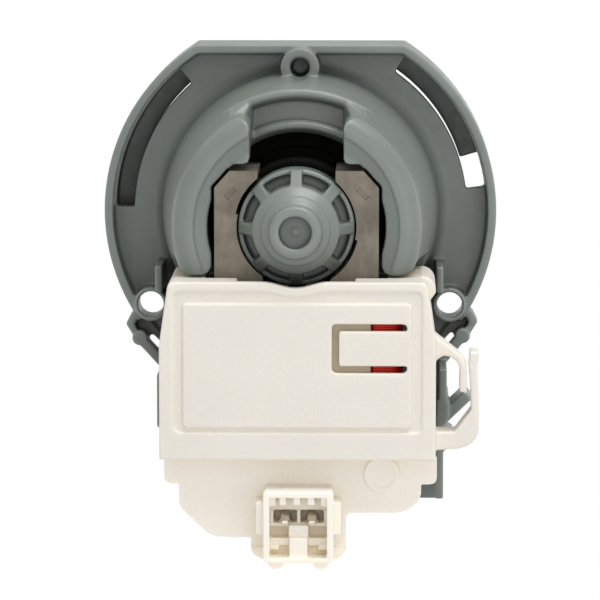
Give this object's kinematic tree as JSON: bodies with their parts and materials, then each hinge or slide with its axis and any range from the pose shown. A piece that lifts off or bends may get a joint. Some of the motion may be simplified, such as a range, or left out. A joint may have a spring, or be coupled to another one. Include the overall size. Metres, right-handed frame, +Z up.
{
  "type": "washer drain pump",
  "caption": "Washing machine drain pump with bayonet flange, canned rotor, U-core stator, coil cover, plug socket and a free-swinging vaned impeller.",
  "frame": {"origin": "where the pump axis crosses the flange's front mounting face, at the root of the sealing spigot", "axes": "+Y along the pump axis towards the impeller, +Z up towards the flange's flat edge, +X to the right seen from the motor side"},
  "size_m": [0.098, 0.0739, 0.1228],
  "materials": {
    "body_plastic": "moulded satin grey",
    "cover_plastic": "moulded warm white",
    "bobbin_plastic": "moulded warm white",
    "bearing_plastic": "moulded pale grey",
    "impeller_plastic": "moulded dark grey",
    "black_rubber": "matt",
    "core_steel": "punched electrical steel",
    "shaft_steel": "ground",
    "tinned_contact": "tinned",
    "enamel_wire": "red enamel",
    "protector_case": "tan moulded case",
    "bush_graphite": "sintered graphite",
    "ferrite": "ground ferrite"
  },
  "bodies": {
    "pump": {"pump_body": "body_plastic", "flange_seal": "black_rubber", "stator_damper": "black_rubber", "stator_core": "core_steel", "bobbin_left": "bobbin_plastic", "bobbin_right": "bobbin_plastic", "coil_left": "enamel_wire", "coil_right": "enamel_wire", "coil_left_wire": "enamel_wire", "coil_right_wire": "enamel_wire", "thermal_protector": "protector_case", "coil_leads": "enamel_wire", "coil_cover": "cover_plastic", "terminal_carrier": "cover_plastic", "terminal_left": "tinned_contact", "terminal_right": "tinned_contact", "front_bearing_carrier": "bearing_plastic", "carrier_o_ring": "black_rubber", "front_bush": "bush_graphite", "rear_bush": "bush_graphite", "rear_bush_holder": "black_rubber"},
    "rotor": {"rotor_shaft": "shaft_steel", "rotor_carrier": "impeller_plastic", "rotor_magnet": "ferrite", "front_thrust_washer": "bearing_plastic", "rear_thrust_washer": "bearing_plastic", "drive_dog": "impeller_plastic"},
    "impeller": {"impeller": "impeller_plastic", "dog_buffer": "black_rubber", "hub_cap": "impeller_plastic"}
  },
  "joints": [
    {"name": "rotor_spin", "type": "hinge", "parent": "pump", "child": "rotor", "pos_m": [0, 0, 0], "axis": [0, 1, 0], "continuous": true},
    {"name": "impeller_swing", "type": "hinge", "parent": "rotor", "child": "impeller", "pos_m": [0, 0.01, 0], "axis": [0, 1, 0], "range_deg": [-120, 120]}
  ]
}
